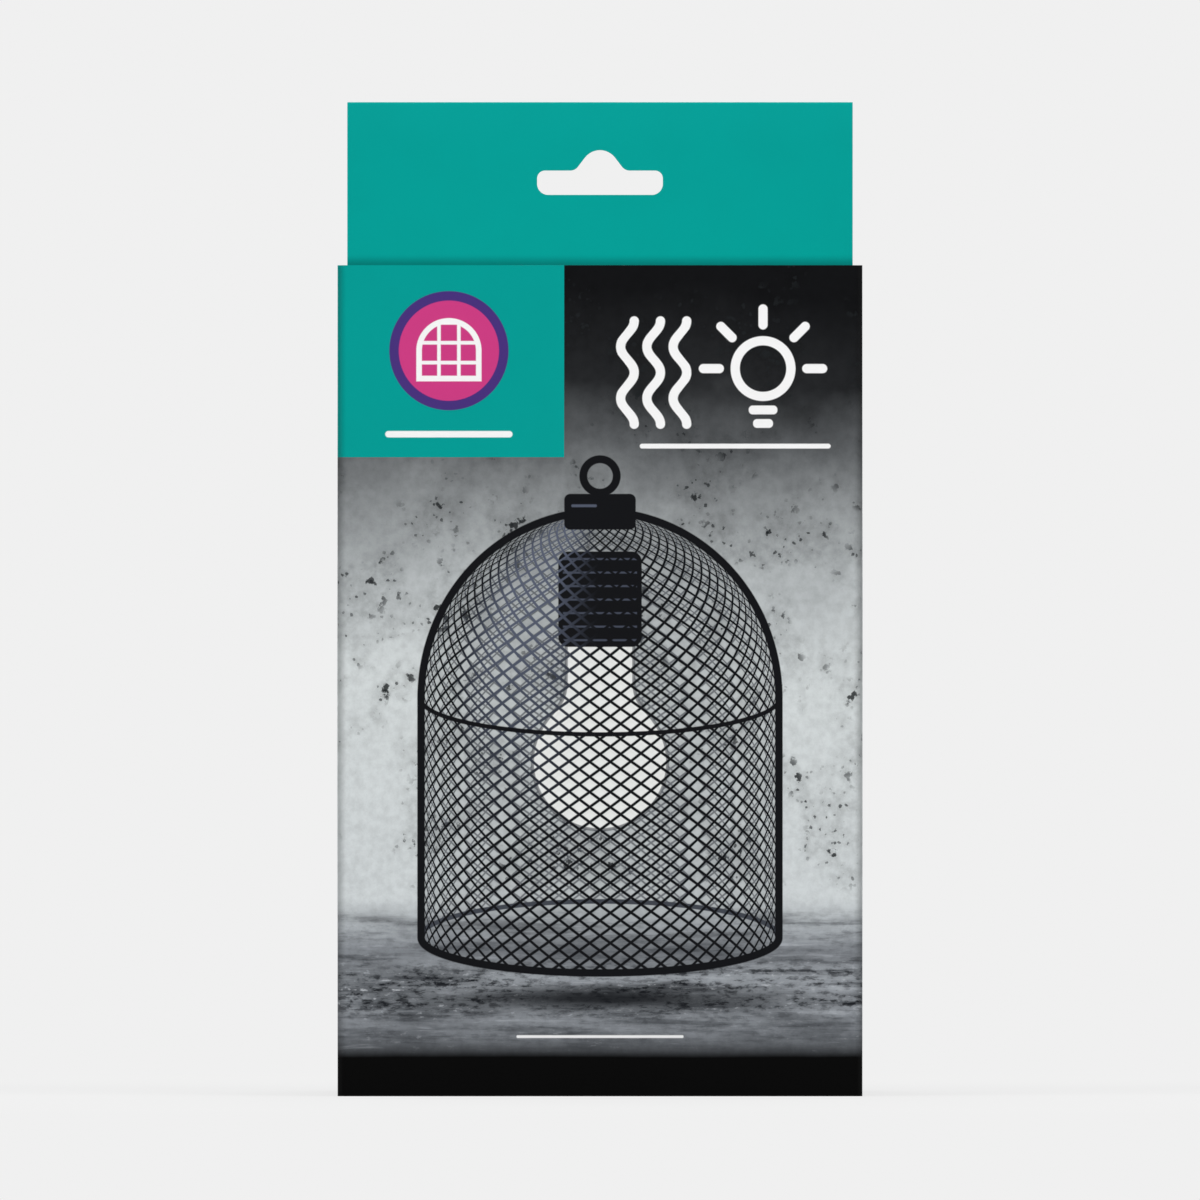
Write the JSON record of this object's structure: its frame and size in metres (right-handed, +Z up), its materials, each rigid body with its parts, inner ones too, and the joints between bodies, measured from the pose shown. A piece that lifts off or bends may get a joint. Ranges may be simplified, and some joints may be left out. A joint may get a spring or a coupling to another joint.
{
  "type": "hanging retail carton",
  "caption": "Closed square retail carton of folded printed board, with a two-ply header card and a hanger slot for a shop's display hook.",
  "frame": {"origin": "middle of the base, on the surface that the carton stands on", "axes": "+Z up, the printed front faces -Y, +X to the right of someone who looks at the front; the header is at the back, +Y"},
  "size_m": [0.132, 0.132, 0.2515],
  "materials": {
    "printed_board": "satin laminate over print; teal header and lid, black to light grey walls, pale board on the cut edges"
  },
  "bodies": {
    "root": {"carton": "printed_board"}
  },
  "joints": []
}
